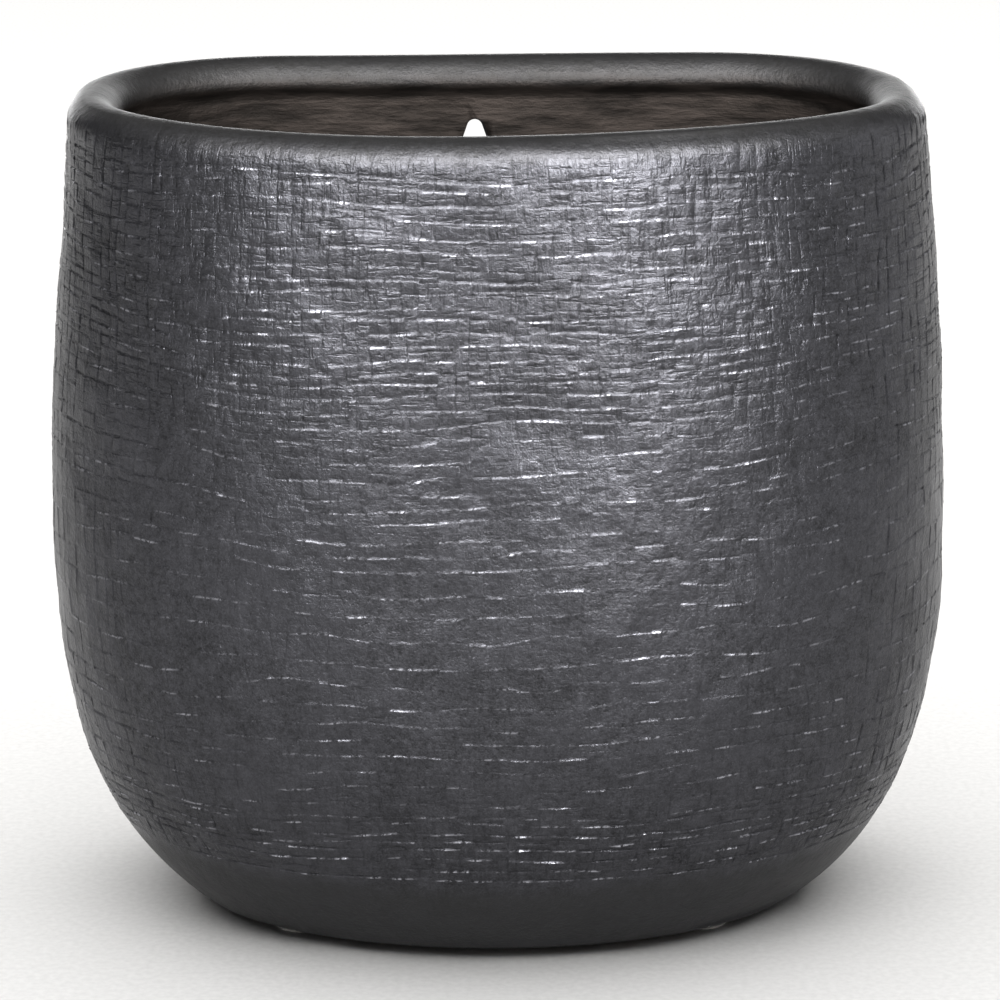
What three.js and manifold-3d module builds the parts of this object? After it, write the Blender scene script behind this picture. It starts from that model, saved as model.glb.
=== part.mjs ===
// Flat-backed stoneware jar that stands on a shelf or hangs from one screw.
//
// The jar is one fired shell. Seen from above it is a D: the front half is half an ellipse, the
// back is a flat panel with round corners, and a teardrop keyhole is pierced through that panel
// just under the rim. Seen from the front it is a barrel: a little narrower at the rim than at the
// belly, and tucked in to a small foot. Felt dots are stuck under the foot and low on the back.
//
// Millimetres, +Z up. The front faces -Y and the flat back +Y. The origin is at the middle of the
// whole object's box, on the surface that the jar stands on.

import * as THREE from "three";
import { mergeVertices } from "three/addons/utils/BufferGeometryUtils.js";
import Module from "manifold-3d";

const wasm = await Module();
wasm.setup();

// ---- Driving dimensions ----

// The shell outside, measured at the belly unless it says otherwise.
const WIDTH = 190;
const FRONT_DEPTH = 61; // from the widest line forward
const BACK_DEPTH = 53.5; // from the widest line to the flat back
const HEIGHT = 176; // of the shell, foot to rim
const BELLY_HEIGHT = 87; // where the shell is widest
const CORNER_RADIUS = 47.5; // of the two back corners, seen from above

// How far the sides come in from the belly, and what share of that the front comes in.
const RIM_TUCK = 6.2;
const RIM_TUCK_POWER = 1.42; // 1 is a straight taper, more stays upright for longer
const FOOT_TUCK = 31.4;
const FOOT_CURVE_POWER = 2.9; // of the superellipse that the lower half follows
const FOOT_CURVE_SHARE = 0.85; // how much of its quarter turn is used before the foot cuts it off
const FRONT_TUCK_SHARE = 0.7;

// Walls, lip, foot and floor.
const WALL = 7.5;
const LIP_RADIUS = 5.4; // the rim is a round bead a little thicker than the wall
const BEAD_DROP = 9.2; // rim to where the bead has run out on the inside
const FLOOR = 9;
const FLOOR_FILLET = 14;
const FOOT_EDGE_RADIUS = 2.3;
const FOOT_RING_WIDTH = 12; // the flat ring that the jar would stand on
const RECESS_DEPTH = 2; // of the underside inside that ring

// The keyhole: the screw's head goes in at the bottom, its shank rests at the top.
const KEYHOLE_X = -4.7; // pierced by hand, a little off the middle
const KEYHOLE_DROP = 14.2; // rim to the top of the slot
const SHANK_RADIUS = 1.7;
const HEAD_RADIUS = 5;
const KEYHOLE_LENGTH = 10; // between the centres of those two rounds

// Felt dots.
const PAD_RADIUS = 5;
const PAD_THICKNESS = 1.5;
const WALL_PAD_HEIGHT = 24; // foot to the middle of a dot on the back
const WALL_PAD_MARGIN = 4; // from a dot's edge to where the flat back starts to turn
const FRONT_PAD_TURN = 0.9; // radians each way from the front of the foot

// How finely curved faces are cut.
const FRONT_STEPS = 36;
const CORNER_STEPS = 10;
const BACK_STEPS = 6;
const LOWER_STEPS = 12;
const UPPER_STEPS = 7;
const LIP_STEPS = 10;
const FILLET_STEPS = 5;
const KEYHOLE_STEPS = 10;
const PAD_SIDES = 32;
const OVERRUN = 1; // how far a cutter runs past the faces it cuts

// ---- The jar's outline, seen from above, and how it changes with height ----

// How far the sides have come in from the belly at height z.
function tuck(z) {
  if (z >= BELLY_HEIGHT) {
    const up = (z - BELLY_HEIGHT) / (HEIGHT - BELLY_HEIGHT);
    return RIM_TUCK * up ** RIM_TUCK_POWER;
  }
  const sweep = (t) => 1 - (1 - (FOOT_CURVE_SHARE * t) ** FOOT_CURVE_POWER) ** (1 / FOOT_CURVE_POWER);
  return (FOOT_TUCK * sweep((BELLY_HEIGHT - z) / BELLY_HEIGHT)) / sweep(1);
}

// The D at height z, taken in by inset all round: its half width, front, back and corner radius.
function outlineAt(z, inset) {
  const outerHalf = WIDTH / 2 - tuck(z);
  const half = outerHalf - inset;
  const front = FRONT_DEPTH - FRONT_TUCK_SHARE * tuck(z) - inset;
  const back = BACK_DEPTH - inset;
  const wanted = (CORNER_RADIUS * outerHalf) / (WIDTH / 2) - inset;
  const corner = Math.max(0.1, Math.min(wanted, half - 1, back - 1));
  return { half, front, back, corner };
}

// One closed section, counterclockwise from above, at height level. The outline is taken at
// height shapeAt, which differs from level on the inside of the shell.
function section(level, inset, shapeAt = level) {
  const { half, front, back, corner } = outlineAt(shapeAt, inset);
  const flat = half - corner;
  const points = [];
  for (let i = 0; i < FRONT_STEPS; i++) {
    const turn = Math.PI * (1 + i / FRONT_STEPS);
    points.push(new THREE.Vector3(half * Math.cos(turn), front * Math.sin(turn), level));
  }
  points.push(new THREE.Vector3(half, 0, level));
  for (let i = 0; i <= CORNER_STEPS; i++) {
    const turn = (Math.PI / 2) * (i / CORNER_STEPS);
    const y = back - corner + corner * Math.sin(turn);
    points.push(new THREE.Vector3(flat + corner * Math.cos(turn), y, level));
  }
  for (let i = 1; i < BACK_STEPS; i++) {
    points.push(new THREE.Vector3(flat * (1 - (2 * i) / BACK_STEPS), back, level));
  }
  for (let i = 0; i <= CORNER_STEPS; i++) {
    const turn = (Math.PI / 2) * (1 + i / CORNER_STEPS);
    const y = back - corner + corner * Math.sin(turn);
    points.push(new THREE.Vector3(-flat + corner * Math.cos(turn), y, level));
  }
  return points;
}

// Whole numbers from first to last as shares of last, for stepping along a curve.
function steps(count, first = 0) {
  return Array.from({ length: count + 1 - first }, (_, i) => (i + first) / count);
}

// ---- The shell ----

// The underside: the flat of the recess, its wall, then the ring that stands on the surface.
function undersideSections() {
  const ringInside = FOOT_EDGE_RADIUS + FOOT_RING_WIDTH;
  return [
    section(RECESS_DEPTH, ringInside + RECESS_DEPTH, 0),
    section(0, ringInside, 0),
    section(0, FOOT_EDGE_RADIUS, 0),
  ];
}

function outsideSections() {
  const edge = steps(FILLET_STEPS, 1).map((t) => {
    const turn = (t * Math.PI) / 2;
    return section(FOOT_EDGE_RADIUS * (1 - Math.cos(turn)), FOOT_EDGE_RADIUS * (1 - Math.sin(turn)));
  });
  const lower = steps(LOWER_STEPS, 1).map((t) =>
    section(FOOT_EDGE_RADIUS + (BELLY_HEIGHT - FOOT_EDGE_RADIUS) * t, 0));
  const shoulder = HEIGHT - LIP_RADIUS;
  const upper = steps(UPPER_STEPS, 1).map((t) => section(BELLY_HEIGHT + (shoulder - BELLY_HEIGHT) * t, 0));
  return [...edge, ...lower, ...upper];
}

function lipSections() {
  const shoulder = HEIGHT - LIP_RADIUS;
  return steps(LIP_STEPS, 1).map((t) => {
    const turn = Math.PI * t;
    return section(shoulder + LIP_RADIUS * Math.sin(turn), LIP_RADIUS * (1 - Math.cos(turn)), shoulder);
  });
}

// Inside, the lower half is the outer shape squeezed up by the floor's thickness.
function shapeHeightInside(z) {
  return z >= BELLY_HEIGHT ? z : ((z - FLOOR) * BELLY_HEIGHT) / (BELLY_HEIGHT - FLOOR);
}

// The bead thins smoothly from the lip's thickness to the wall's.
function insetInside(z) {
  const drop = Math.min(1, (HEIGHT - LIP_RADIUS - z) / Math.max(0.1, BEAD_DROP - LIP_RADIUS));
  const fade = drop * drop * (3 - 2 * drop);
  const thin = 2 * LIP_RADIUS + (WALL - 2 * LIP_RADIUS) * fade;
  const fromFloor = Math.min(FLOOR_FILLET, z - FLOOR);
  const fillet = FLOOR_FILLET - Math.sqrt(FLOOR_FILLET ** 2 - (FLOOR_FILLET - fromFloor) ** 2);
  return thin + fillet;
}

function insideSections() {
  const shoulder = HEIGHT - LIP_RADIUS;
  const beadEnd = HEIGHT - Math.max(BEAD_DROP, LIP_RADIUS + 0.5);
  const filletTop = FLOOR + FLOOR_FILLET;
  const bead = steps(4, 1).map((t) => shoulder + (beadEnd - shoulder) * t);
  const upper = steps(UPPER_STEPS, 1).map((t) => beadEnd + (BELLY_HEIGHT - beadEnd) * t);
  const lower = steps(LOWER_STEPS - 4, 1).map((t) => BELLY_HEIGHT + (filletTop - BELLY_HEIGHT) * t);
  const fillet = steps(FILLET_STEPS, 1).map((t) => FLOOR + FLOOR_FILLET * (1 - Math.sin((t * Math.PI) / 2)));
  return [...bead, ...upper, ...lower, ...fillet].map((z) =>
    section(z, insetInside(z), shapeHeightInside(z)));
}

// The keyhole's outline in the plane of the back: two rounds joined by the lines that touch both.
function keyholeShape() {
  const lean = Math.asin((HEAD_RADIUS - SHANK_RADIUS) / KEYHOLE_LENGTH);
  const shankZ = HEIGHT - KEYHOLE_DROP - SHANK_RADIUS;
  const shape = new THREE.Shape();
  shape.absarc(KEYHOLE_X, shankZ, SHANK_RADIUS, lean, Math.PI - lean, false);
  shape.absarc(KEYHOLE_X, shankZ - KEYHOLE_LENGTH, HEAD_RADIUS, Math.PI - lean, 2 * Math.PI + lean, false);
  return shape;
}

function keyholeCutter() {
  const depth = WALL + 2 * OVERRUN;
  const cutter = new THREE.ExtrudeGeometry(keyholeShape(), {
    depth,
    bevelEnabled: false,
    curveSegments: KEYHOLE_STEPS,
  });
  cutter.rotateX(Math.PI / 2); // the outline stands up, and the depth runs towards -Y
  cutter.translate(0, BACK_DEPTH + OVERRUN, 0);
  return cutter;
}

// Skins the sections in order, and closes the first and the last with a fan round their middles.
function skin(sections) {
  const around = sections[0].length;
  const last = sections.length - 1;
  const points = sections.flat();
  const first = points.push(middle(sections[0])) - 1;
  const final = points.push(middle(sections[last])) - 1;
  const index = [];
  for (let i = 0; i < around; i++) {
    const next = (i + 1) % around;
    index.push(first, next, i);
    index.push(final, last * around + i, last * around + next);
    for (let row = 0; row < last; row++) {
      const low = row * around;
      const high = low + around;
      index.push(low + i, low + next, high + next);
      index.push(low + i, high + next, high + i);
    }
  }
  return new THREE.BufferGeometry().setFromPoints(points).setIndex(index);
}

function middle(points) {
  return points.reduce((sum, point) => sum.add(point), new THREE.Vector3()).divideScalar(points.length);
}

function toSolid(geometry) {
  const bare = geometry.index ? geometry.toNonIndexed() : geometry.clone();
  bare.deleteAttribute("normal");
  bare.deleteAttribute("uv");
  const merged = mergeVertices(bare, 1e-4);
  const mesh = new wasm.Mesh({
    numProp: 3,
    vertProperties: merged.attributes.position.array,
    triVerts: new Uint32Array(merged.index.array),
  });
  return new wasm.Manifold(mesh);
}

function toGeometry(solid) {
  const mesh = solid.getMesh();
  const geometry = new THREE.BufferGeometry();
  geometry.setAttribute("position", new THREE.BufferAttribute(mesh.vertProperties, 3));
  geometry.setIndex(new THREE.BufferAttribute(mesh.triVerts, 1));
  geometry.computeVertexNormals();
  return geometry;
}

function shellGeometry() {
  const sections = [...undersideSections(), ...outsideSections(), ...lipSections(), ...insideSections()];
  return toGeometry(toSolid(skin(sections)).subtract(toSolid(keyholeCutter())));
}

// ---- Felt dots ----

const felt = new THREE.MeshStandardMaterial({ color: 0x2b2a29, roughness: 1, metalness: 0 });

function feltDot(name) {
  const dot = new THREE.Mesh(new THREE.CylinderGeometry(PAD_RADIUS, PAD_RADIUS, PAD_THICKNESS, PAD_SIDES), felt);
  dot.name = name;
  return dot;
}

// Under the foot: on the middle of the standing ring, two towards the front and two at the back corners.
function footPads() {
  const { half, front, back, corner } = outlineAt(0, FOOT_EDGE_RADIUS + FOOT_RING_WIDTH / 2);
  const places = {
    front: [half * Math.sin(FRONT_PAD_TURN), -front * Math.cos(FRONT_PAD_TURN)],
    rear: [half - corner * (1 - Math.SQRT1_2), back - corner * (1 - Math.SQRT1_2)],
  };
  const pads = [];
  for (const [row, [x, y]] of Object.entries(places)) {
    for (const [hand, sign] of [["left", -1], ["right", 1]]) {
      const pad = feltDot(`foot_pad_${row}_${hand}`);
      pad.rotation.x = Math.PI / 2;
      pad.position.set(sign * x, y, -PAD_THICKNESS / 2);
      pads.push(pad);
    }
  }
  return pads;
}

// On the flat back, low down, where the hung jar touches the wall.
function wallPads() {
  const { half, back, corner } = outlineAt(WALL_PAD_HEIGHT, 0);
  const x = half - corner - PAD_RADIUS - WALL_PAD_MARGIN;
  return [["left", -1], ["right", 1]].map(([hand, sign]) => {
    const pad = feltDot(`wall_pad_${hand}`);
    pad.position.set(sign * x, back + PAD_THICKNESS / 2, WALL_PAD_HEIGHT);
    return pad;
  });
}

// ---- The object ----

const stoneware = new THREE.MeshStandardMaterial({ color: 0x3f3f44, roughness: 0.42, metalness: 0.35 });
const shell = new THREE.Mesh(shellGeometry(), stoneware);
shell.name = "jar_body";

const jar = new THREE.Group();
jar.add(shell, ...footPads(), ...wallPads());
jar.position.set(0, (FRONT_DEPTH - BACK_DEPTH - PAD_THICKNESS) / 2, PAD_THICKNESS);

const object = new THREE.Group();
object.add(jar);
export default object;
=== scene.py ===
import math

import bpy
import mathutils
import numpy as np
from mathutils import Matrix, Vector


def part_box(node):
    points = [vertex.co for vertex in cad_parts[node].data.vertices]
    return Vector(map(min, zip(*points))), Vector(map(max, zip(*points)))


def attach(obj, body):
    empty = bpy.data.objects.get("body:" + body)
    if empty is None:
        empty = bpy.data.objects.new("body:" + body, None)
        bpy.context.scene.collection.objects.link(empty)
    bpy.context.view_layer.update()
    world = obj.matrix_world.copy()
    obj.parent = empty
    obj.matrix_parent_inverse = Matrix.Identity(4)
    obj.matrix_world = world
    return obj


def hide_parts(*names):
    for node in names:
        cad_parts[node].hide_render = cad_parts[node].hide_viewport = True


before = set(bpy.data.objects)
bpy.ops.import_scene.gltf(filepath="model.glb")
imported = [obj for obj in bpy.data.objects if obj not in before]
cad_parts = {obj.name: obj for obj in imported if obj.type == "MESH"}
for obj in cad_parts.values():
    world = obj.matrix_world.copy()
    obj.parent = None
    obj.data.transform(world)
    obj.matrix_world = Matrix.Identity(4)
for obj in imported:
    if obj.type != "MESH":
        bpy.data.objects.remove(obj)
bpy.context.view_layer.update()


# ---- The fired shell ----
# The jar is one piece of black stoneware clay: a slab-built D with a rolled rim, its outside
# combed and scored while leather-hard, then dipped in a metallic black glaze that is left off the
# foot and pours thin and matt down the inside. It is fired once, so it is one closed piece.

MM = 0.001

WIDTH = 190.0
FRONT_DEPTH = 61.0
BACK_DEPTH = 53.5
HEIGHT = 176.0
BELLY_HEIGHT = 87.0
CORNER_RADIUS = 47.5
RIM_TUCK, RIM_TUCK_POWER = 6.2, 1.42
FOOT_TUCK, FOOT_CURVE_POWER, FOOT_CURVE_SHARE = 31.4, 2.9, 0.85
FRONT_TUCK_SHARE = 0.7
WALL = 7.5
LIP_RADIUS = 5.4
BEAD_DROP = 9.2
FLOOR = 9.0
FLOOR_FILLET = 14.0
FOOT_EDGE_RADIUS = 2.3
FOOT_RING_WIDTH = 12.0
RECESS_DEPTH = 2.0

PLAN_STEPS = 1200  # points along each part of the plan's table
PATH_STEPS = 400  # points along each part of the wall's path
NEAR_MIDDLE = 0.05  # the innermost row's size, as a share of the floor's or the underside's

shell_low, shell_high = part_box("jar_body")
WIDEST_Y = shell_high.y / MM - BACK_DEPTH
FOOT_Z = shell_low.z / MM


def smooth(low, high, value):
    """0 below low, 1 above high, and the cubic 3t^2 - 2t^3 between them."""
    t = np.clip((value - low) / (high - low), 0.0, 1.0)
    return t * t * (3.0 - 2.0 * t)


def tuck(z):
    """How far the sides have come in from the belly: a power of the height above it, and a
    superellipse's quarter turn below it."""
    up = np.clip((z - BELLY_HEIGHT) / (HEIGHT - BELLY_HEIGHT), 0.0, 1.0)
    down = np.clip((BELLY_HEIGHT - z) / BELLY_HEIGHT, 0.0, 1.0)

    def sweep(t):
        """The superellipse's inset, 1 - (1 - (ct)^n)^(1/n), c being the share of it that is used."""
        n = FOOT_CURVE_POWER
        return 1.0 - (1.0 - (FOOT_CURVE_SHARE * t) ** n) ** (1.0 / n)

    return RIM_TUCK * up ** RIM_TUCK_POWER + FOOT_TUCK * sweep(down) / sweep(1.0)


def plan_sizes(inset, shape_z):
    """Half width, front, back and corner radius of the D at a height, taken in by inset."""
    half_outside = WIDTH / 2 - tuck(shape_z)
    half = half_outside - inset
    front = FRONT_DEPTH - FRONT_TUCK_SHARE * tuck(shape_z) - inset
    back = BACK_DEPTH - inset
    corner = np.maximum(0.1, CORNER_RADIUS * half_outside / (WIDTH / 2) - inset)
    return half, front, back, corner


def plan_terms():
    """A table of the D: every point is a sum of the four plan sizes, so for each distance s round
    the belly it holds how much of each size goes into x and into y. s is 0 at the front's middle,
    positive to the right, and the two ends meet at the middle of the back."""
    half, front, back, corner = plan_sizes(0.0, BELLY_HEIGHT)
    turn = np.linspace(-math.pi / 2, 0.0, PLAN_STEPS)
    zero = np.zeros_like(turn)
    one = np.ones_like(turn)
    t = np.linspace(0.0, 1.0, PLAN_STEPS)
    bend = np.linspace(0.0, math.pi / 2, PLAN_STEPS)
    # columns: x per half, x per corner, y per front, y per back, y per corner
    ellipse = np.stack([np.cos(turn), zero, np.sin(turn), zero, zero], 1)
    side = np.stack([one, zero, zero, t, -t], 1)
    round_corner = np.stack([one, np.cos(bend) - 1.0, zero, one, np.sin(bend) - 1.0], 1)
    panel = np.stack([1.0 - t, t - 1.0, zero, one, zero], 1)
    right = np.concatenate([ellipse, side[1:], round_corner[1:], panel[1:]])
    x = right[:, 0] * half + right[:, 1] * corner
    y = right[:, 2] * front + right[:, 3] * back + right[:, 4] * corner
    s = np.concatenate([[0.0], np.cumsum(np.hypot(np.diff(x), np.diff(y)))])
    left = right[:0:-1].copy()
    left[:, :2] *= -1.0
    return np.concatenate([-s[:0:-1], s]), np.concatenate([left, right])


S_TABLE, TERMS = plan_terms()
HALF_ROUND = S_TABLE[-1]


def profile_path():
    """The line that the shell's wall follows, from the middle of the underside, out over the foot,
    up the outside, over the lip and down to the middle of the floor. Each point holds its level,
    its inset, the height whose outline it takes, and how far it is drawn in to the middle."""
    t = np.linspace(0.0, 1.0, PATH_STEPS)[:, None]
    zero = np.zeros_like(t)
    one = np.ones_like(t)
    ring_inside = FOOT_EDGE_RADIUS + FOOT_RING_WIDTH
    growing = NEAR_MIDDLE + (1 - NEAR_MIDDLE) * t
    shrinking = 1.0 - (1 - NEAR_MIDDLE) * t
    recess = np.hstack([RECESS_DEPTH * one, (ring_inside + RECESS_DEPTH) * one, zero, growing])
    step = np.hstack([RECESS_DEPTH * (1 - smooth(0, 1, t)), ring_inside + RECESS_DEPTH * (1 - t), zero, one])
    ring = np.hstack([zero, ring_inside - FOOT_RING_WIDTH * t, zero, one])
    turn = t * math.pi / 2
    edge_z = FOOT_EDGE_RADIUS * (1 - np.cos(turn))
    edge = np.hstack([edge_z, FOOT_EDGE_RADIUS * (1 - np.sin(turn)), edge_z, one])
    shoulder = HEIGHT - LIP_RADIUS
    wall_z = FOOT_EDGE_RADIUS + (shoulder - FOOT_EDGE_RADIUS) * t
    wall = np.hstack([wall_z, zero, wall_z, one])
    turn = t * math.pi
    lip_z = shoulder + LIP_RADIUS * np.sin(turn)
    lip = np.hstack([lip_z, LIP_RADIUS * (1 - np.cos(turn)), shoulder * one, one])
    fillet_top = FLOOR + FLOOR_FILLET
    inner_z = shoulder + (fillet_top - shoulder) * t
    fade = smooth(0.0, BEAD_DROP - LIP_RADIUS, shoulder - inner_z)
    inner_inset = 2 * LIP_RADIUS + (WALL - 2 * LIP_RADIUS) * fade
    squeeze = BELLY_HEIGHT / (BELLY_HEIGHT - FLOOR)
    inner_shape = np.where(inner_z >= BELLY_HEIGHT, inner_z, (inner_z - FLOOR) * squeeze)
    inner = np.hstack([inner_z, inner_inset, inner_shape, one])
    turn = t * math.pi / 2
    round_z = FLOOR + FLOOR_FILLET * (1 - np.sin(turn))
    round_inset = WALL + FLOOR_FILLET * (1 - np.cos(turn))
    fillet = np.hstack([round_z, round_inset, (round_z - FLOOR) * squeeze, one])
    floor = np.hstack([FLOOR * one, (WALL + FLOOR_FILLET) * one, zero, shrinking])
    return [recess, step, ring, edge, wall, lip, inner, fillet, floor]


def path_lengths(parts):
    """Distance along the path at every point, and at the end of every part."""
    path = np.vstack(parts)
    half = plan_sizes(path[:, 1], path[:, 2])[0] * path[:, 3]
    run = np.concatenate([[0.0], np.cumsum(np.hypot(np.diff(half), np.diff(path[:, 0])))])
    return path, run, run[np.cumsum([len(part) for part in parts]) - 1]


PATH, RUN, ENDS = path_lengths(profile_path())
RECESS_END, STEP_END, RING_END, EDGE_END, WALL_END, LIP_END, INNER_END, FILLET_END, FLOOR_END = ENDS
LIP_TOP = (WALL_END + LIP_END) / 2


def shell_points(s, v):
    """Places in mm for arrays of distance round (s) and distance along the path (v)."""
    level, inset, shape_z, draw = (np.interp(v, RUN, PATH[:, i]) for i in range(4))
    half, front, back, corner = plan_sizes(inset, shape_z)
    s = (s + HALF_ROUND) % (2 * HALF_ROUND) - HALF_ROUND
    term = [np.interp(s, S_TABLE, TERMS[:, i]) for i in range(5)]
    x = half * term[0] + corner * term[1]
    y = front * term[2] + back * term[3] + corner * term[4]
    middle_y = (back - front) / 2
    return np.stack([x * draw, middle_y + (y - middle_y) * draw, level], -1)


rng = np.random.default_rng(7)


def waves(count, x, shortest, longest, terms=5):
    """One smooth random line per row, about -1 to 1: a sum of sines with random lengths and phases."""
    lengths = np.exp(rng.uniform(math.log(shortest), math.log(longest), (count, terms, 1)))
    phases = rng.uniform(0.0, 2 * math.pi, (count, terms, 1))
    return np.sin(2 * math.pi * x / lengths + phases).sum(1) / math.sqrt(terms)


def swell(s, v, size, terms=7):
    """A smooth random field over the wall, about -1 to 1: sines in random directions, which close
    up round the back because each has a whole number of turns."""
    turns = rng.integers(1, max(2, int(2 * HALF_ROUND / size)), terms)
    rise = rng.uniform(-1.0, 1.0, terms) / size
    phase = rng.uniform(0.0, 2 * math.pi, terms)
    total = np.zeros(np.broadcast(s, v).shape)
    for k, r, p in zip(turns, rise, phase):
        total = total + np.sin(math.pi * k * s / HALF_ROUND + 2 * math.pi * r * v + p)
    return total / math.sqrt(terms)


# The scoring: long wavy cuts round the pot and short ones up it, close together under the rim and
# just above the foot, and sparser across the belly. The tool throws up a burr along the lower edge
# of a long cut. Every cut has its own lines of points, so the mesh follows it: for a long one the
# burr's foot, its crest, the bed and the upper edge, and for an upright one an edge, the bed and
# the other edge.
ROUND_LINES = (-0.64, -0.32, 0.0, 0.36)
BURR_CREST, ROUND_BED = 1, 2
UPRIGHT_LINES = (-0.33, 0.0, 0.33)
UPRIGHT_BED = 1
SCORED_FROM = 21.0  # height above the foot
ROUND_SPACING = ((0, 2.1), (34, 2.3), (42, 3.8), (62, 4.6), (100, 3.8), (118, 2.9), (176, 2.65))
ROUND_DEPTH = ((0, 0.38), (34, 0.30), (44, 0.24), (70, 0.18), (110, 0.18), (130, 0.20), (176, 0.21))
ROUND_GAPS = ((0, -0.8), (36, -0.4), (48, -0.2), (75, 0.1), (112, 0.0), (126, -0.5), (176, -0.8))
UPRIGHT_SPACING = ((0, 3.15), (150, 3.15), (165, 5.0), (300, 5.0))  # wider round the back corners
UPRIGHT_DEPTH = ((0, 0.20), (44, 0.17), (70, 0.11), (105, 0.13), (125, 0.26), (176, 0.30))
UPRIGHT_GAPS = ((0, 0.2), (36, 0.0), (44, -0.1), (70, 0.2), (105, 0.1), (125, -0.6), (176, -0.8))
SCRATCHES = ((0, 0.55), (34, 0.55), (46, 0.30), (70, 0.18), (105, 0.22), (130, 0.65), (176, 0.75))
PANEL_HALF = 44.0  # half the plain strip at the middle of the back


def table(pairs, x):
    """The value at x on the straight lines between pairs of (x, value)."""
    return np.interp(x, [p[0] for p in pairs], [p[1] for p in pairs])


def height_at(v):
    """Height above the foot, in mm, of a distance along the path."""
    return np.interp(v, RUN, PATH[:, 0])


def spaced(start, stop, spacing):
    """Places from start to stop, each one spacing(place) on from the last, give or take a third."""
    places = [start]
    while places[-1] < stop:
        places.append(places[-1] + spacing(places[-1]) * rng.uniform(0.67, 1.33))
    return np.array(places[:-1])


on_wall = (RUN > EDGE_END) & (RUN <= WALL_END)
round_from = np.interp(SCORED_FROM, PATH[on_wall, 0], RUN[on_wall])
round_to = WALL_END - 1.5
upright_to = WALL_END + 3.2
round_cuts = spaced(round_from, round_to, lambda v: table(ROUND_SPACING, height_at(v)))
upright_end = HALF_ROUND - PANEL_HALF
upright_cuts = spaced(-upright_end, upright_end - 2.0, lambda s: table(UPRIGHT_SPACING, abs(s)))


def cut_lines(centres, offsets):
    """The lines of points along every cut: each one's place, its cut's number and its role."""
    place = (centres[:, None] + np.array(offsets)).ravel()
    number = np.repeat(np.arange(len(centres)), len(offsets))
    role = np.tile(np.arange(len(offsets)), len(centres))
    return place, number, role


def with_plain(low, lines, high):
    """Puts lines that belong to no cut before and after those that do; their role is -1."""
    place, number, role = lines
    place = np.concatenate([low, place, high])
    number = np.pad(number, (len(low), len(high)))
    role = np.pad(role, (len(low), len(high)), constant_values=-1)
    return place, number, role


lines = cut_lines(round_cuts, ROUND_LINES)
low_rows = np.linspace(EDGE_END, lines[0][0], 9)[:-1]
high_rows = np.linspace(lines[0][-1], WALL_END + 0.34 * (LIP_END - WALL_END), 7)[1:]
row_v, row_cut, row_role = with_plain(low_rows, lines, high_rows)
lines = cut_lines(upright_cuts, UPRIGHT_LINES)
panel_cols = np.linspace(lines[0][-1], 2 * HALF_ROUND + lines[0][0], 25)[1:-1]
col_s, col_cut, col_role = with_plain([], lines, panel_cols)

fade_row = smooth(round_from - 8, round_from + 6, row_v) * (1 - smooth(WALL_END - 4, WALL_END + 3, row_v))
fade_col = 1 - smooth(HALF_ROUND - PANEL_HALF - 14, HALF_ROUND - PANEL_HALF, np.abs(col_s))
S, V = np.meshgrid(col_s, row_v)
round_gap = np.gradient(round_cuts)[:, None]
round_wander = waves(len(round_cuts), col_s, 18.0, 80.0) * 0.10 * round_gap
upright_wander = waves(len(upright_cuts), row_v, 12.0, 60.0) * 0.28
drift_v = 1.1 * swell(S, V, 60.0) * fade_row[:, None] * fade_col
drift_s = 0.9 * swell(S, V, 45.0) * fade_col
on_round = (row_role >= 0)[:, None]
on_upright = (col_role >= 0)[None, :]
wall_v = V + drift_v + np.where(on_round, round_wander[row_cut], 0.0) * fade_row[:, None]
wall_s = S + drift_s + np.where(on_upright, upright_wander[col_cut].T, 0.0) * fade_col

cut_height = height_at(round_cuts)
round_strength = table(ROUND_DEPTH, cut_height)[:, None] * rng.uniform(0.55, 1.15, (len(round_cuts), 1))
round_gaps = table(ROUND_GAPS, cut_height)[:, None] + rng.uniform(-0.25, 0.25, (len(round_cuts), 1))
round_depth = round_strength * smooth(-0.3, 0.35, waves(len(round_cuts), col_s, 9.0, 80.0) - round_gaps)
upright_strength = table(UPRIGHT_DEPTH, height_at(row_v)) * rng.uniform(0.5, 1.15, (len(upright_cuts), 1))
upright_gaps = table(UPRIGHT_GAPS, height_at(row_v)) + rng.uniform(-0.25, 0.25, (len(upright_cuts), 1))
upright_breaks = waves(len(upright_cuts), row_v, 7.0, 45.0)
upright_depth = upright_strength * smooth(-0.3, 0.35, upright_breaks - upright_gaps)
burr_dashes = smooth(-0.3, 0.5, waves(len(round_cuts), col_s, 5.0, 40.0))
# the uprights were cut last: they break the long cuts and their burrs up, cell by cell
cell_depth = smooth(0.0, 0.8, rng.uniform(0.0, 1.0, (len(round_cuts), len(upright_cuts))))
cell_burr = smooth(0.35, 0.95, rng.uniform(0.0, 1.0, cell_depth.shape))
upright_cells = smooth(0.0, 0.8, rng.uniform(0.0, 1.0, cell_depth.shape))
in_cell = (row_cut[:, None], col_cut[None, :])
scored = smooth(round_from - 1.0, round_from + 1.0, row_v) * (1 - smooth(upright_to - 2.0, upright_to, row_v))
on_bed = (col_role == UPRIGHT_BED)[None, :]
cut_through = np.where(on_bed, 0.0, cell_depth[in_cell]) * fade_col
round_bed = np.where((row_role == ROUND_BED)[:, None], round_depth[row_cut], 0.0) * cut_through
burr = np.where((row_role == BURR_CREST)[:, None], (round_strength * burr_dashes)[row_cut], 0.0) * fade_col
burr = burr * np.where(on_bed, 0.0, cell_burr[in_cell])
upright_bed = np.where(on_bed, upright_depth[col_cut].T * upright_cells[in_cell], 0.0)
upright_bed = upright_bed * scored[:, None] * fade_col
groove = np.maximum(round_bed, upright_bed) + 0.35 * np.minimum(round_bed, upright_bed)

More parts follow.
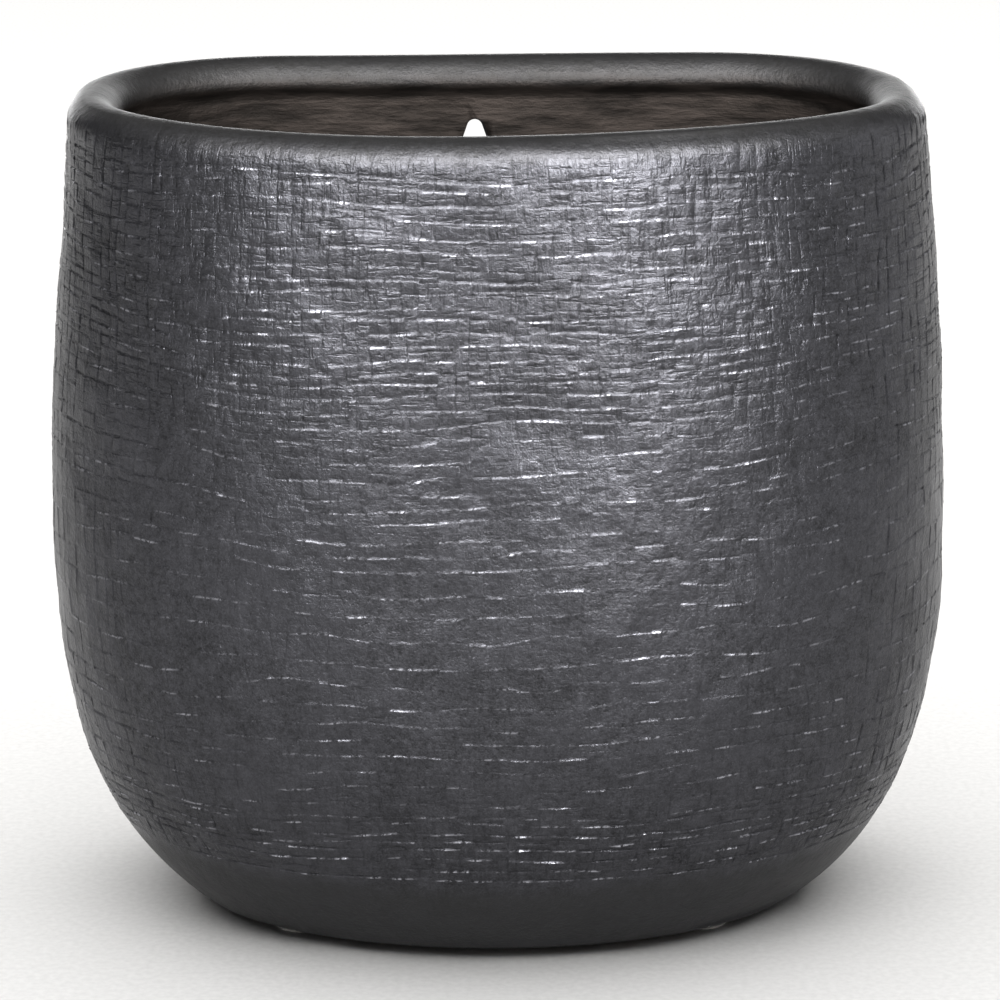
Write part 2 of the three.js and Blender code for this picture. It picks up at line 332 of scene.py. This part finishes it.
# Hand work leaves the whole wall a little uneven, and drags small bumps between the cuts.
CELL_BUMP = 0.06  # mm, the usual height of a bump
BURR_HEIGHT = 0.5  # of a burr's crest, as a share of its cut's depth
uneven = 0.28 * swell(S, V, 55.0) + 0.10 * swell(S, V, 16.0) * fade_col * scored[:, None]
cell = CELL_BUMP * rng.normal(size=groove.shape) * scored[:, None] * fade_col
relief = uneven + cell - groove + BURR_HEIGHT * burr


def facing(points):
    """Unit normals of a grid that is closed round: the cross product of its two directions."""
    around = np.roll(points, -1, 1) - np.roll(points, 1, 1)
    along = np.gradient(points, axis=0)
    normal = np.cross(around, along)
    return normal / np.linalg.norm(normal, axis=-1, keepdims=True)


wall_points = shell_points(wall_s, wall_v)
wall_points = wall_points + facing(wall_points) * relief[..., None]

# The underside, the lip and the inside need fewer points: 164 round instead of the wall's.
COARSE = 164
coarse_s = np.linspace(-HALF_ROUND, HALF_ROUND, COARSE, endpoint=False) + col_s[0] + HALF_ROUND


def stretch(*stops):
    """Distances along the path from pairs of (end, count), each part evenly cut."""
    places = [np.array([stops[0]])]
    for end, count in stops[1:]:
        places.append(np.linspace(places[-1][-1], end, count + 1)[1:])
    return np.concatenate(places)


under_v = stretch(0.0, (RECESS_END, 5), (STEP_END, 4), (RING_END, 4), (EDGE_END - 0.3, 6))
lip_from = row_v[-1]
inside_v = stretch(lip_from + 0.6, (LIP_END, 15), (LIP_END + 6.0, 6), (INNER_END, 34), (FILLET_END, 9),
                   (FLOOR_END, 8))
under_S, under_V = np.meshgrid(coarse_s, under_v)
inside_S, inside_V = np.meshgrid(coarse_s, inside_v)
under_points = shell_points(under_S, under_V)
inside_points = shell_points(inside_S, inside_V)
hand_felt = smooth(LIP_END - 6, LIP_END + 12, inside_v) * (1 - smooth(FILLET_END, FLOOR_END, inside_v))
ripple = 0.22 * swell(inside_S, inside_V, 40.0) + 0.14 * swell(inside_S, inside_V, 13.0)
inside_points = inside_points + facing(inside_points) * (ripple * hand_felt[:, None])[..., None]
rim_wave = 0.28 * swell(coarse_s, 0.0, 120.0)
near_rim = smooth(HEIGHT - 30, HEIGHT - 2, inside_points[..., 2])
inside_points[..., 2] += rim_wave * near_rim
wall_rim_wave = np.interp(col_s, coarse_s, rim_wave, period=2 * HALF_ROUND)
wall_points[..., 2] += wall_rim_wave * smooth(HEIGHT - 30, HEIGHT - 2, wall_points[..., 2])


def grid_faces(rows, cols, first):
    """Quads of a grid that is closed round, as point numbers."""
    i, j = np.meshgrid(np.arange(rows - 1), np.arange(cols), indexing="ij")
    a = first + i * cols + j
    b = first + i * cols + (j + 1) % cols
    return np.stack([a, b, b + cols, a + cols], -1).reshape(-1, 4)


def zip_faces(low, low_s, high, high_s):
    """Triangles between two rings with different numbers of points: going round both at once, each
    step moves on along the ring whose next point comes first."""
    round_length = 2 * HALF_ROUND
    next_low = np.append(low_s[1:], low_s[0] + round_length)
    next_high = np.append(high_s[1:], high_s[0] + round_length)
    on_low = np.concatenate([np.ones(len(low), bool), np.zeros(len(high), bool)])
    order = np.argsort(np.concatenate([next_low, next_high]), kind="stable")
    on_low = on_low[order]
    i = np.cumsum(on_low) - on_low
    j = np.cumsum(~on_low) - ~on_low
    a, b = low[i % len(low)], high[j % len(high)]
    c = np.where(on_low, low[(i + 1) % len(low)], high[(j + 1) % len(high)])
    return np.stack([a, c, b], -1)


def fan_faces(ring, centre, turned):
    """Triangles from a ring of points to one point."""
    other = np.roll(ring, -1)
    middle = np.full_like(ring, centre)
    return np.stack([middle, other, ring] if turned else [middle, ring, other], -1)


def mesh_piece(name, points, faces, uv, layers):
    """A smooth-shaded object from points in mm, faces of three or four points, one (round, along)
    pair per point in mm for its UV map, and named values per point."""
    corners = np.concatenate([f.ravel() for f in faces])
    sizes = np.concatenate([np.full(len(f), f.shape[1]) for f in faces])
    mesh = bpy.data.meshes.new(name)
    mesh.vertices.add(len(points))
    mesh.vertices.foreach_set("co", (points * MM).astype(np.float32).ravel())
    mesh.loops.add(len(corners))
    mesh.loops.foreach_set("vertex_index", corners.astype(np.int32))
    mesh.polygons.add(len(sizes))
    mesh.polygons.foreach_set("loop_start", (np.cumsum(sizes) - sizes).astype(np.int32))
    mesh.update(calc_edges=True)
    place = uv[corners].copy()
    # a face over the join at the middle of the back has both ends of the scale: bring them together
    face = np.repeat(np.arange(len(sizes)), sizes)
    highest = np.full(len(sizes), -np.inf)
    np.maximum.at(highest, face, place[:, 0])
    place[:, 0] += np.where(highest[face] - place[:, 0] > HALF_ROUND, 2 * HALF_ROUND, 0.0)
    mesh.uv_layers.new(name="wall").data.foreach_set("uv", (place * MM).astype(np.float32).ravel())
    for layer, values in layers.items():
        mesh.attributes.new(layer, "FLOAT", "POINT").data.foreach_set("value", values.astype(np.float32))
    mesh.validate()
    mesh.polygons.foreach_set("use_smooth", np.ones(len(mesh.polygons), bool))
    piece = bpy.data.objects.new(name, mesh)
    bpy.context.scene.collection.objects.link(piece)
    return piece


blocks = [under_points, wall_points, inside_points]
firsts = np.cumsum([0] + [b.shape[0] * b.shape[1] for b in blocks])
rings = [first + np.arange(b.shape[0] * b.shape[1]).reshape(b.shape[:2]) for first, b in zip(firsts, blocks)]
under_middle, floor_middle = firsts[3], firsts[3] + 1
all_points = np.concatenate([b.reshape(-1, 3) for b in blocks]
                            + [under_points[:1].mean(1), inside_points[-1:].mean(1)])
all_uv = np.concatenate([
    np.stack([under_S, under_V], -1).reshape(-1, 2),
    np.stack([wall_s, wall_v], -1).reshape(-1, 2),
    np.stack([inside_S, inside_V], -1).reshape(-1, 2),
    [[0.0, 0.0], [0.0, FLOOR_END]],
])


def wall_layer(values):
    """Values for the wall's points, and 0 for all the others."""
    layer = np.zeros(len(all_points))
    layer[firsts[1]:firsts[2]] = values.ravel()
    return layer


DEEP_GROOVE = 0.5  # mm, the depth that counts as a full cut
HIGH_BURR = 0.25  # mm, the depth of a cut whose burr counts as full
scratched_rows = (scored * table(SCRATCHES, height_at(row_v)))[:, None]
layers = {
    "groove": wall_layer(groove / DEEP_GROOVE),
    "burr": wall_layer(burr / HIGH_BURR),
    "scratches": wall_layer(scratched_rows * fade_col * np.ones_like(groove)),
}
all_faces = [
    *(grid_faces(*b.shape[:2], first) for b, first in zip(blocks, firsts)),
    zip_faces(rings[0][-1], coarse_s, rings[1][0], col_s),
    zip_faces(rings[1][-1], col_s, rings[2][0], coarse_s),
    fan_faces(rings[0][0], under_middle, turned=True),
    fan_faces(rings[2][-1], floor_middle, turned=False),
]
all_points = all_points + [0.0, WIDEST_Y, FOOT_Z]
jar = mesh_piece("stoneware_jar", all_points, all_faces, all_uv, layers)
cut_wall = jar.vertex_groups.new(name="cut wall")
cut_wall.add((firsts[1] + np.flatnonzero(np.repeat(scored > 0, len(col_s)))).tolist(), 1.0, "REPLACE")

# The keyhole is cut through the leather-hard back with a hot knife and its edges sponged round.
KEYHOLE_X = -4.7
KEYHOLE_DROP = 14.2
SHANK_RADIUS = 1.7
HEAD_RADIUS = 5.0
KEYHOLE_LENGTH = 10.0
SPONGED_RADIUS = 0.6


def keyhole_ring(grow, count=28):
    """Two round ends joined by the lines that touch both, all grown outwards by the same amount."""
    lean = math.asin((HEAD_RADIUS - SHANK_RADIUS) / KEYHOLE_LENGTH)
    top = np.linspace(lean, math.pi - lean, count // 2)
    bottom = np.linspace(math.pi - lean, 2 * math.pi + lean, count)
    shank_z = HEIGHT - KEYHOLE_DROP - SHANK_RADIUS
    x = np.concatenate([(SHANK_RADIUS + grow) * np.cos(top), (HEAD_RADIUS + grow) * np.cos(bottom)])
    z = np.concatenate([
        shank_z + (SHANK_RADIUS + grow) * np.sin(top),
        shank_z - KEYHOLE_LENGTH + (HEAD_RADIUS + grow) * np.sin(bottom),
    ])
    return KEYHOLE_X + x, z


def keyhole_tool():
    """The shape taken out: straight in the wall's middle, and widened like a trumpet at both faces
    by R(1 - sqrt(1 - t^2)), t being how near it is to the face."""
    t = np.linspace(0.985, 0.0, 9)
    depth = SPONGED_RADIUS * (1 - t)
    grow = SPONGED_RADIUS * (1 - np.sqrt(1 - t * t))
    face_in, face_out = BACK_DEPTH - WALL, BACK_DEPTH
    y = np.concatenate([[face_in - 2.0], face_in + depth, (face_out - depth)[::-1], [face_out + 2.0]])
    grow = np.concatenate([[grow[0]], grow, grow[::-1], [grow[0]]])
    rows = [np.stack([x, np.full_like(x, yy), z], -1) for yy, (x, z) in zip(y, map(keyhole_ring, grow))]
    points = np.stack(rows)
    count = points.shape[1]
    ends = np.array([points[0].mean(0), points[-1].mean(0)])
    flat = np.concatenate([points.reshape(-1, 3), ends]) + [0.0, WIDEST_Y, FOOT_Z]
    first_ring = np.arange(count)
    last_ring = first_ring + count * (len(y) - 1)
    faces = [
        grid_faces(len(y), count, 0)[:, ::-1],
        fan_faces(first_ring, len(flat) - 2, turned=False),
        fan_faces(last_ring, len(flat) - 1, turned=True),
    ]
    uv = np.tile([0.0, (EDGE_END + WALL_END) / 2], (len(flat), 1))
    return mesh_piece("keyhole_tool", flat, faces, uv, {name: np.zeros(len(flat)) for name in layers})


tool = keyhole_tool()
cut = jar.modifiers.new("keyhole", "BOOLEAN")
cut.operation = "DIFFERENCE"
cut.solver = "MANIFOLD"
cut.object = tool
whole = jar.data
# the cells between the cuts are nearly flat: normals weighted by area keep them so up to their edges
crisp = jar.modifiers.new("crisp cuts", "WEIGHTED_NORMAL")
crisp.mode = "FACE_AREA"
crisp.vertex_group = cut_wall.name
jar.data = bpy.data.meshes.new_from_object(jar.evaluated_get(bpy.context.evaluated_depsgraph_get()))
jar.modifiers.clear()
bpy.data.objects.remove(tool)
bpy.data.meshes.remove(whole)
jar.data.name = "stoneware_jar"


def linear(hex_colour):
    """An sRGB hex colour as linear light with full alpha."""
    parts = [int(hex_colour[i:i + 2], 16) / 255 for i in (0, 2, 4)]
    return tuple(p / 12.92 if p <= 0.04045 else ((p + 0.055) / 1.055) ** 2.4 for p in parts) + (1.0,)


def node(tree, kind, inputs=(), output=0, **settings):
    """Adds a shader node with its settings, fills its inputs with values or other nodes' outputs,
    and gives back one of its own outputs."""
    made = tree.nodes.new("ShaderNode" + kind)
    for name, value in settings.items():
        setattr(made, name, value)
    for key, value in dict(inputs).items():
        if isinstance(value, bpy.types.NodeSocket):
            tree.links.new(value, made.inputs[key])
        else:
            made.inputs[key].default_value = value
    return made.outputs[output] if made.outputs else None


def new_material(name):
    """A material with an empty node tree, and the tree."""
    material = bpy.data.materials.new(name)
    material.use_nodes = True
    material.node_tree.nodes.clear()
    return material, material.node_tree


# Metallic black glaze over scored stoneware: manganese and iron leave a graphite skin with a
# silvery sheen, finely grained and rougher in the cuts. Painted shade darkens the cuts, the fine
# scratches and the smooth band above the foot, and a painted highlight lightens the burrs in spots.
# Over the lip and down the inside it is thin, and goes to a matt brown-black.
GLAZE_DARK, GLAZE_LIGHT = "202021", "46464a"
GLAZE_CUT_SHADE = "141416"
GLAZE_PAINTED_GLINT = "a6a6ad"
FOOT_PAINTED_SHADE = "2d2d2d"
LIP_DRY = "3b3a38"
SLIP_DARK, SLIP_LIGHT = "1a1715", "2f2a27"
GRAIN = 0.40  # mm, the glaze's crystals, drawn coarser than real ones so that they show
SPECK = 1.2  # mm, where they gather
SMEAR = 5.0  # mm, where the glaze ran thick or thin
PATCH = 26.0  # mm, across the cloudy patches
HATCH, HATCH_LONG = 1.0, 6.5  # mm, across and along the fine scratches
DRAG_LONG, DRAG_WIDE = 14.0, 2.6  # mm, the tooling marks on the inside
METAL = 0.95  # the glaze's film is nearly all metal
SLIP_ROUGHNESS = 0.7
# mm, the heights of the grain, the specks and the marks, and the scratches' depth
GRAIN_HIGH, SPECK_HIGH, SCRATCH_DEEP, MARK_HIGH = 0.07, 0.10, 0.075, 0.6
RUN_HIGH, FOOT_RUN_HIGH = 0.30, 0.34

glaze, t = new_material("metallic black glaze on scored stoneware")
where = node(t, "TexCoord", output="Object")
on_wall = node(t, "UVMap", uv_map="wall")
path = node(t, "SeparateXYZ", {0: on_wall}, "Y")
cut_in = node(t, "Attribute", output="Fac", attribute_name="groove")
burr_up = node(t, "Attribute", output="Fac", attribute_name="burr")
combed = node(t, "Attribute", output="Fac", attribute_name="scratches")
grain = node(t, "TexNoise", {"Vector": where, "Scale": 1 / (GRAIN * MM), "Detail": 3.0, "Roughness": 0.65})
speck = node(t, "TexNoise", {"Vector": where, "Scale": 1 / (SPECK * MM), "Detail": 3.0, "Roughness": 0.6})
smear = node(t, "TexNoise", {"Vector": where, "Scale": 1 / (SMEAR * MM), "Detail": 4.0, "Roughness": 0.6})
cloud = node(t, "TexNoise", {"Vector": where, "Scale": 1 / (PATCH * MM), "Detail": 4.0, "Roughness": 0.6})
stretch_out = (1 / (DRAG_LONG * MM), 1 / (DRAG_LONG * MM), 1 / (DRAG_WIDE * MM))
drawn_out = node(t, "Mapping", {"Vector": where, "Scale": stretch_out})
dragged = node(t, "TexNoise", {"Vector": drawn_out, "Scale": 1.0, "Detail": 4.0, "Roughness": 0.6})

# fine scratches between the cuts, round the wall and up it, where either noise is at its lowest
hatch_round = (1 / (HATCH_LONG * MM), 1 / (HATCH * MM), 1.0)
hatch_up = (1 / (HATCH * MM), 1 / (HATCH_LONG * MM), 1.0)
scratch_round = node(t, "Mapping", {"Vector": on_wall, "Scale": hatch_round})
scratch_up = node(t, "Mapping", {"Vector": on_wall, "Scale": hatch_up})
round_noise = node(t, "TexNoise", {"Vector": scratch_round, "Scale": 1.0, "Detail": 2.0})
up_noise = node(t, "TexNoise", {"Vector": scratch_up, "Scale": 1.0, "Detail": 2.0})
lowest = node(t, "Math", {0: round_noise, 1: up_noise}, operation="MINIMUM")
deep = node(t, "MapRange", {"Value": lowest, "From Min": 0.34, "From Max": 0.46, "To Min": 1.0,
                            "To Max": 0.0})
scratched = node(t, "Math", {0: deep, 1: combed}, operation="MULTIPLY")

# how far the surface has gone over to the inside's slip, and into the band above the foot, which is rougher
# and painted darker as shade
ragged_lip = node(t, "Math", {0: speck, 1: 2.0 * MM, 2: path}, operation="MULTIPLY_ADD")
inside = node(t, "MapRange", {"Value": ragged_lip, "From Min": (LIP_END - 2.5) * MM,
                              "From Max": (LIP_END + 3.5) * MM}, interpolation_type="SMOOTHSTEP")
ragged_foot = node(t, "Math", {0: smear, 1: 5.0 * MM, 2: path}, operation="MULTIPLY_ADD")
foot = node(t, "MapRange", {"Value": ragged_foot, "From Min": (round_from - 3.0) * MM,
                            "From Max": (round_from + 3.0) * MM, "To Min": 0.7, "To Max": 0.0},
            interpolation_type="SMOOTHSTEP")

smeared = node(t, "Math", {0: smear, 1: 0.25}, operation="MULTIPLY")
speckled = node(t, "Math", {0: speck, 1: 0.3, 2: smeared}, operation="MULTIPLY_ADD")
crystals = node(t, "Math", {0: grain, 1: 0.45, 2: speckled}, operation="MULTIPLY_ADD")
thickness = node(t, "MapRange", {"Value": crystals, "From Min": 0.35, "From Max": 0.65})
cloudy = node(t, "MapRange", {"Value": cloud, "From Min": 0.40, "From Max": 0.66, "To Max": 0.30},
              interpolation_type="SMOOTHSTEP")
clean = node(t, "Mix", {0: thickness, 6: linear(GLAZE_DARK), 7: linear(GLAZE_LIGHT)}, 2, data_type="RGBA")
clouded = node(t, "Mix", {0: cloudy, 6: clean, 7: linear(GLAZE_LIGHT)}, 2, data_type="RGBA")
# painted shade: the smooth band above the foot is mixed towards a darker grey
foot_shaded = node(t, "Mix", {0: foot, 6: clouded, 7: linear(FOOT_PAINTED_SHADE)}, 2, data_type="RGBA")
# painted shade: the cuts and the fine scratches are mixed towards a darker colour, as if shade lay in them
scratch_shade = node(t, "Math", {0: scratched, 1: 0.35}, operation="MULTIPLY")
cut_shade = node(t, "Math", {0: cut_in, 1: 0.8, 2: scratch_shade}, operation="MULTIPLY_ADD")
cut_shaded_colour = node(t, "Mix", {0: cut_shade, 6: foot_shaded, 7: linear(GLAZE_CUT_SHADE)}, 2, data_type="RGBA")
# painted highlight: the burrs' crests are lightened in spots towards bright silver, standing in for the
# glints they catch
spotty = node(t, "MapRange", {"Value": speck, "From Min": 0.44, "From Max": 0.56, "To Max": 0.85})
painted_glint = node(t, "Math", {0: burr_up, 1: spotty}, operation="MULTIPLY")
outside = node(t, "Mix", {0: painted_glint, 6: cut_shaded_colour, 7: linear(GLAZE_PAINTED_GLINT)}, 2, data_type="RGBA")
over_lip = node(t, "MapRange", {"Value": path, "From Min": WALL_END * MM, "From Max": (LIP_TOP - 2.0) * MM})
half_dry = node(t, "Math", {0: over_lip, 1: 0.6}, operation="MULTIPLY")
outside_colour = node(t, "Mix", {0: half_dry, 6: outside, 7: linear(LIP_DRY)}, 2, data_type="RGBA")
streaks = node(t, "MapRange", {"Value": dragged, "From Min": 0.38, "From Max": 0.66})
slip_colour = node(t, "Mix", {0: streaks, 6: linear(SLIP_DARK), 7: linear(SLIP_LIGHT)}, 2, data_type="RGBA")
colour = node(t, "Mix", {0: inside, 6: outside_colour, 7: slip_colour}, 2, data_type="RGBA")

sheen = node(t, "MapRange", {"Value": cloud, "From Min": 0.35, "From Max": 0.7, "To Min": 0.38,
                             "To Max": 0.31})
dull_cut = node(t, "Math", {0: cut_in, 1: 0.15, 2: sheen}, operation="MULTIPLY_ADD")
dull_foot = node(t, "Math", {0: foot, 1: 0.15, 2: dull_cut}, operation="MULTIPLY_ADD")
dull = node(t, "Math", {0: over_lip, 1: 0.26, 2: dull_foot}, operation="MULTIPLY_ADD")
rough = node(t, "Mix", {0: inside, 2: dull, 3: SLIP_ROUGHNESS}, data_type="FLOAT")

# the glaze's metal film reaches this far down the inside, and thins out to plain matt slip
FILM_FROM, FILM_TO = 30.0, 60.0  # mm past the lip
film = node(t, "MapRange", {"Value": path, "From Min": (LIP_END + FILM_FROM) * MM,
                            "From Max": (LIP_END + FILM_TO) * MM, "To Min": METAL, "To Max": 0.0},
            interpolation_type="SMOOTHSTEP")

# heights in mm: scratches, crystals, specks, runs of glaze on the scored part, marks on the inside
scratches = node(t, "Math", {0: scratched, 1: -SCRATCH_DEEP}, operation="MULTIPLY")
fine = node(t, "Math", {0: grain, 1: GRAIN_HIGH, 2: scratches}, operation="MULTIPLY_ADD")
finer = node(t, "Math", {0: speck, 1: SPECK_HIGH, 2: fine}, operation="MULTIPLY_ADD")
runs = node(t, "MapRange", {"Value": foot, "From Max": 0.7, "To Min": RUN_HIGH, "To Max": FOOT_RUN_HIGH})
run_height = node(t, "Math", {0: smear, 1: runs, 2: finer}, operation="MULTIPLY_ADD")
marks = node(t, "Math", {0: dragged, 1: inside}, operation="MULTIPLY")
height = node(t, "Math", {0: marks, 1: MARK_HIGH, 2: run_height}, operation="MULTIPLY_ADD")
bump = node(t, "Bump", {"Strength": 1.0, "Distance": MM, "Height": height})
surface = node(t, "BsdfPrincipled", {"Base Color": colour, "Metallic": film, "Roughness": rough,
                                     "Normal": bump})
node(t, "OutputMaterial", {"Surface": surface})

# Bare stoneware: the glaze is wiped off the foot so that it doesn't stick to the kiln shelf, and
# the clay under it is a dull grey-brown with grog in it.
CLAY_DARK, CLAY_LIGHT = "4b4540", "7a7066"
GROG = 0.9  # mm across a grain of grog
CLAY_SHADE = 4.0  # mm across its lighter and darker spots
CLAY_PAST_RING = 0.8  # mm of bare clay past the foot ring's outer edge

clay, t = new_material("bare grogged stoneware")
where = node(t, "TexCoord", output="Object")
grog = node(t, "TexVoronoi", {"Vector": where, "Scale": 1 / (GROG * MM)}, "Distance")
shade = node(t, "TexNoise", {"Vector": where, "Scale": 1 / (CLAY_SHADE * MM), "Detail": 5.0,
                             "Roughness": 0.6})
grogged = node(t, "Math", {0: grog, 1: 0.4}, operation="MULTIPLY")
mixed = node(t, "Math", {0: shade, 1: 0.7, 2: grogged}, operation="MULTIPLY_ADD")
spread = node(t, "MapRange", {"Value": mixed, "From Min": 0.3, "From Max": 0.8})
colour = node(t, "Mix", {0: spread, 6: linear(CLAY_DARK), 7: linear(CLAY_LIGHT)}, 2, data_type="RGBA")
bump = node(t, "Bump", {"Strength": 0.6, "Distance": 0.2 * MM, "Height": mixed})
surface = node(t, "BsdfPrincipled", {"Base Color": colour, "Roughness": 0.9, "Normal": bump})
node(t, "OutputMaterial", {"Surface": surface})

jar.data.materials.clear()
jar.data.materials.append(glaze)
jar.data.materials.append(clay)
along_v = np.empty(len(jar.data.loops) * 2, np.float32)
jar.data.uv_layers["wall"].data.foreach_get("uv", along_v)
starts = np.empty(len(jar.data.polygons), np.int32)
jar.data.polygons.foreach_get("loop_start", starts)
bare = along_v[1::2][starts] < (RING_END + CLAY_PAST_RING) * MM
jar.data.polygons.foreach_set("material_index", bare.astype(np.int32))
jar.data.update()

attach(jar, "root")
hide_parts("jar_body")


# ---- The felt dots ----
# Six self-adhesive dots punched from pressed wool felt, dark grey: four under the foot keep the
# shelf from scratches and two low on the back keep the hung jar off the wall.

FELT_DARK, FELT_LIGHT = "181817", "34322f"
FIBRE = 0.25  # mm between fibres, drawn coarser than wool so that they show
TUFT = 1.4  # mm across a tuft of them

felt, t = new_material("pressed wool felt")
where = node(t, "TexCoord", output="Object")
fibres = node(t, "TexNoise", {"Vector": where, "Scale": 1 / (FIBRE * MM), "Detail": 3.0, "Roughness": 0.7,
                              "Distortion": 1.5})
tufts = node(t, "TexNoise", {"Vector": where, "Scale": 1 / (TUFT * MM)})
tufted = node(t, "Math", {0: tufts, 1: 0.3}, operation="MULTIPLY")
lay = node(t, "Math", {0: fibres, 1: 0.7, 2: tufted}, operation="MULTIPLY_ADD")
spread = node(t, "MapRange", {"Value": lay, "From Min": 0.38, "From Max": 0.62})
colour = node(t, "Mix", {0: spread, 6: linear(FELT_DARK), 7: linear(FELT_LIGHT)}, 2, data_type="RGBA")
bump = node(t, "Bump", {"Strength": 0.8, "Distance": 0.15 * MM, "Height": lay})
surface = node(t, "BsdfPrincipled", {"Base Color": colour, "Roughness": 0.95, "Sheen Weight": 0.15,
                                     "Normal": bump})
node(t, "OutputMaterial", {"Surface": surface})

for name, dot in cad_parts.items():
    if "pad" in name:
        dot.data.materials.clear()
        dot.data.materials.append(felt)


# ---- The studio ----
# A pale matt table under a wide bank that lights nothing else. The jar and its dots have lights of
# their own: two tall softboxes in front, weak fills from the side and from high up, and a strip
# behind. The room is dim.

PAPER_DARK, PAPER_LIGHT = "dcdbd9", "e6e5e3"
TOOTH = 1.5  # mm, the paper's grain
TABLE_HALF = 6.0  # m
ROOM_COLOUR, ROOM_STRENGTH = "b4b4b8", 0.165

paper, t = new_material("pale table paper")
where = node(t, "TexCoord", output="Object")
tooth = node(t, "TexNoise", {"Vector": where, "Scale": 1 / (TOOTH * MM), "Detail": 3.0})
spread = node(t, "MapRange", {"Value": tooth, "From Min": 0.3, "From Max": 0.7})
colour = node(t, "Mix", {0: spread, 6: linear(PAPER_DARK), 7: linear(PAPER_LIGHT)}, 2, data_type="RGBA")
surface = node(t, "BsdfPrincipled", {"Base Color": colour, "Roughness": 0.9})
node(t, "OutputMaterial", {"Surface": surface})

table_mesh = bpy.data.meshes.new("table")
table_corners = [(TABLE_HALF * x, TABLE_HALF * y, 0.0) for x, y in ((-1, -1), (1, -1), (1, 1), (-1, 1))]
table_mesh.from_pydata(table_corners, [], [(0, 1, 2, 3)])
table_mesh.materials.append(paper)
table_top = bpy.data.objects.new("table", table_mesh)
bpy.context.scene.collection.objects.link(table_top)

world = bpy.data.worlds.new("room")
bpy.context.scene.world = world
world.use_nodes = True
world.node_tree.nodes["Background"].inputs["Color"].default_value = linear(ROOM_COLOUR)
world.node_tree.nodes["Background"].inputs["Strength"].default_value = ROOM_STRENGTH

AIM = np.array([0.0, WIDEST_Y * MM, (FOOT_Z + HEIGHT / 2) * MM])


def softbox(name, azimuth, elevation, distance, width, tall, watts, lights_up):
    """A rectangular area light at a bearing from the jar's middle, facing it, that lights the named
    things only. Azimuth 0 is in front and positive to the right."""
    a, e = math.radians(azimuth), math.radians(elevation)
    toward = np.array([math.sin(a) * math.cos(e), -math.cos(a) * math.cos(e), math.sin(e)])
    data = bpy.data.lights.new(name, "AREA")
    data.shape = "RECTANGLE"
    data.size, data.size_y, data.energy = width, tall, watts
    light = bpy.data.objects.new(name, data)
    x = np.array([math.cos(a), math.sin(a), 0.0])
    turn = mathutils.Matrix(np.stack([x, np.cross(toward, x), toward], 1).tolist())
    light.location = AIM + toward * distance
    light.rotation_mode = "QUATERNION"
    light.rotation_quaternion = turn.to_quaternion()
    bpy.context.scene.collection.objects.link(light)
    lit = bpy.data.collections.new(f"lit by {name}")
    for thing in lights_up:
        lit.objects.link(thing)
    light.light_linking.receiver_collection = lit


ware = [jar, *(dot for name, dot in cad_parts.items() if "pad" in name)]
# name, azimuth and elevation in degrees, distance, width and height in metres, watts, what it lights
LIGHTS = (
    ("softbox_left", -22, 26, 1.2, 0.20, 0.60, 40, ware),
    ("softbox_right", 23, 22, 1.2, 0.20, 0.62, 42, ware),
    ("side_fill", 95, 10, 1.6, 1.2, 1.2, 6, ware),
    ("high_fill", 0, 64, 1.6, 1.8, 1.2, 4.2, ware),
    ("back_strip", 180, 7, 1.6, 1.8, 0.5, 30, ware),
    ("overhead", 0, 89, 3.0, 6.0, 6.0, 300, [table_top]),
)
for light_values in LIGHTS:
    softbox(*light_values)

# The camera: a long lens, a little above the rim, turned a touch off level.
CAMERA_ELEVATION = 15.93
CAMERA_DISTANCE = 0.7979
CAMERA_ROLL = 0.41
LENS, SENSOR = 134.2, 36.0
SHIFT_X, SHIFT_Y = 0.00138, -0.00147

camera_data = bpy.data.cameras.new("camera")
camera_data.lens = LENS
camera_data.sensor_width = SENSOR
camera_data.shift_x = SHIFT_X
camera_data.shift_y = SHIFT_Y
camera = bpy.data.objects.new("camera", camera_data)
e = math.radians(CAMERA_ELEVATION)
camera.location = AIM + np.array([0.0, -math.cos(e), math.sin(e)]) * CAMERA_DISTANCE
camera.rotation_mode = "XYZ"
camera.rotation_euler = (math.pi / 2 - e, 0.0, 0.0)
camera.rotation_euler = (
    camera.rotation_euler.to_matrix()
    @ mathutils.Matrix.Rotation(math.radians(-CAMERA_ROLL), 3, "Z")
).to_euler()
bpy.context.scene.collection.objects.link(camera)
bpy.context.scene.camera = camera
bpy.context.scene.view_settings.view_transform = "Standard"
